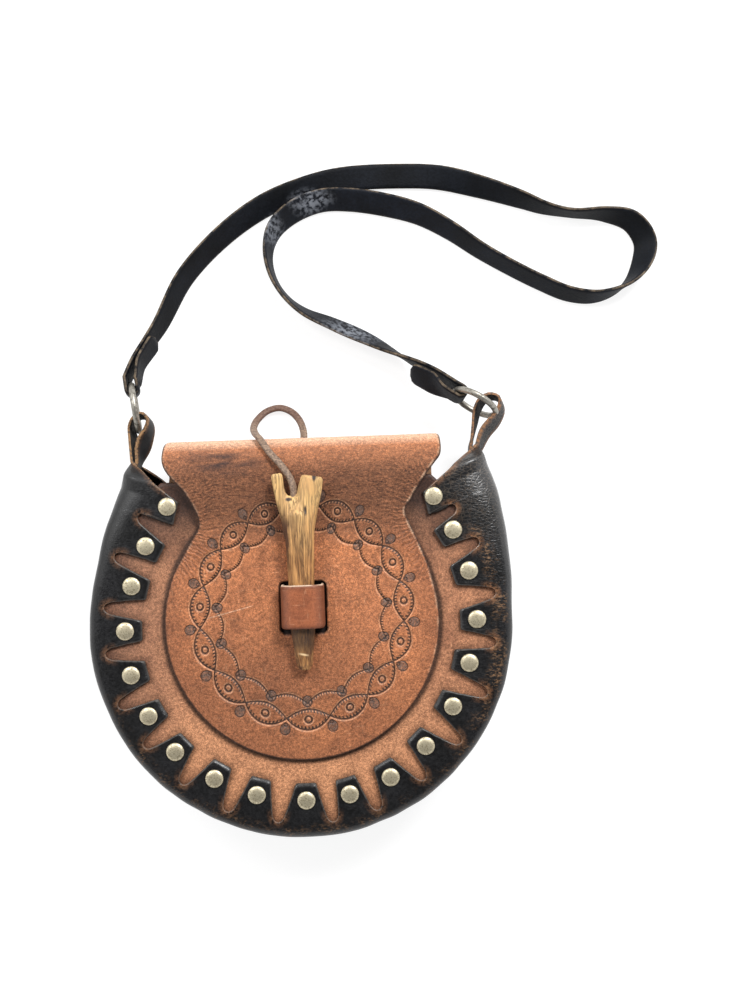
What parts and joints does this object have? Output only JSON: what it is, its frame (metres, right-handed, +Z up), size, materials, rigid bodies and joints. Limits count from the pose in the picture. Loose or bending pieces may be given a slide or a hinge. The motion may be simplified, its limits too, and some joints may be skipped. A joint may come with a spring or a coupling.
{
  "type": "round leather satchel",
  "caption": "Round handmade leather shoulder bag with a tooled flap, forked-twig toggle closure, riveted toothed gusset and a ringed shoulder strap, lying on its back.",
  "frame": {"origin": "middle of the flat part of the back panel, on the surface the bag lies on", "axes": "+Z up out of the front of the bag, +Y towards the fold on top of the bag and the strap"},
  "size_m": [0.3721, 0.4301, 0.0753],
  "materials": {
    "front_leather": "smooth vegetable-tanned leather, darkened and worn",
    "flap_leather": "saddle-tan tooled leather with creases and scuffs",
    "gusset_leather": "black leather with tan wear on its edges",
    "strap_leather": "black leather with worn tan edges",
    "keeper_leather": "smooth reddish-brown leather",
    "thong_leather": "flat leather lace",
    "toggle_wood": "peeled twig, oiled",
    "rivet_metal": "antique nickel, speckled",
    "ring_metal": "antique nickel, satin"
  },
  "bodies": {
    "root": {"front_panel": "front_leather", "back_flap": "flap_leather", "gusset_left": "gusset_leather", "gusset_right": "gusset_leather", "ring_left": "ring_metal", "ring_right": "ring_metal", "strap": "strap_leather", "keeper": "keeper_leather", "toggle": "toggle_wood", "toggle_thong": "thong_leather", "rivet_front_01": "rivet_metal", "rivet_front_02": "rivet_metal", "rivet_front_03": "rivet_metal", "rivet_front_04": "rivet_metal", "rivet_front_05": "rivet_metal", "rivet_front_06": "rivet_metal", "rivet_front_07": "rivet_metal", "rivet_front_08": "rivet_metal", "rivet_front_09": "rivet_metal", "rivet_front_10": "rivet_metal", "rivet_front_11": "rivet_metal", "rivet_front_12": "rivet_metal", "rivet_front_13": "rivet_metal", "rivet_front_14": "rivet_metal", "rivet_front_15": "rivet_metal", "rivet_front_16": "rivet_metal", "rivet_front_17": "rivet_metal", "rivet_front_18": "rivet_metal", "rivet_front_19": "rivet_metal", "rivet_back_01": "rivet_metal", "rivet_back_02": "rivet_metal", "rivet_back_03": "rivet_metal", "rivet_back_04": "rivet_metal", "rivet_back_05": "rivet_metal", "rivet_back_06": "rivet_metal", "rivet_back_07": "rivet_metal", "rivet_back_08": "rivet_metal", "rivet_back_09": "rivet_metal", "rivet_back_10": "rivet_metal", "rivet_back_11": "rivet_metal", "rivet_back_12": "rivet_metal", "rivet_back_13": "rivet_metal", "rivet_back_14": "rivet_metal", "rivet_back_15": "rivet_metal", "rivet_back_16": "rivet_metal", "rivet_back_17": "rivet_metal", "rivet_back_18": "rivet_metal", "rivet_back_19": "rivet_metal"}
  },
  "joints": []
}
